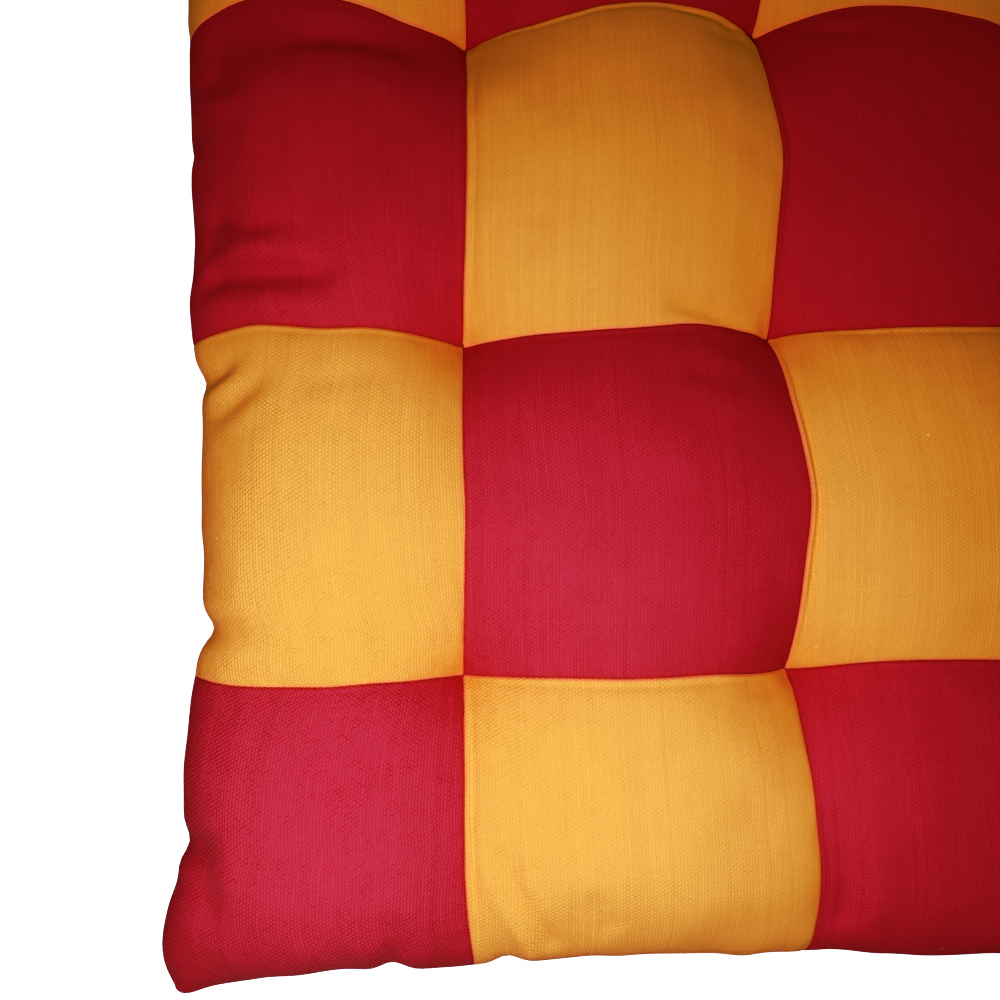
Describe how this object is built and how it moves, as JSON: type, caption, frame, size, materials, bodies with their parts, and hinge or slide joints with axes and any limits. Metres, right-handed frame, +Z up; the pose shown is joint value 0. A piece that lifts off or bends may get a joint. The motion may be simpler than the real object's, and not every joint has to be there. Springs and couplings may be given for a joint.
{
  "type": "chair cushion",
  "caption": "Square filled chair cushion with a patchwork face, sewn channels, tufts pulled down where the seams cross, and a knife-edge rim.",
  "frame": {"origin": "on the floor under the middle of the cushion", "axes": "+Z up through the face, +X and +Y along the two directions of the seams"},
  "size_m": [0.3888, 0.3944, 0.0628],
  "materials": {
    "red_cotton": "coarse plain-weave cotton, matt, red",
    "yellow_cotton": "coarse plain-weave cotton, matt, golden yellow",
    "sewing_thread": "twisted cotton sewing thread, matt"
  },
  "bodies": {
    "root": {"cushion": "red_cotton"}
  },
  "joints": []
}
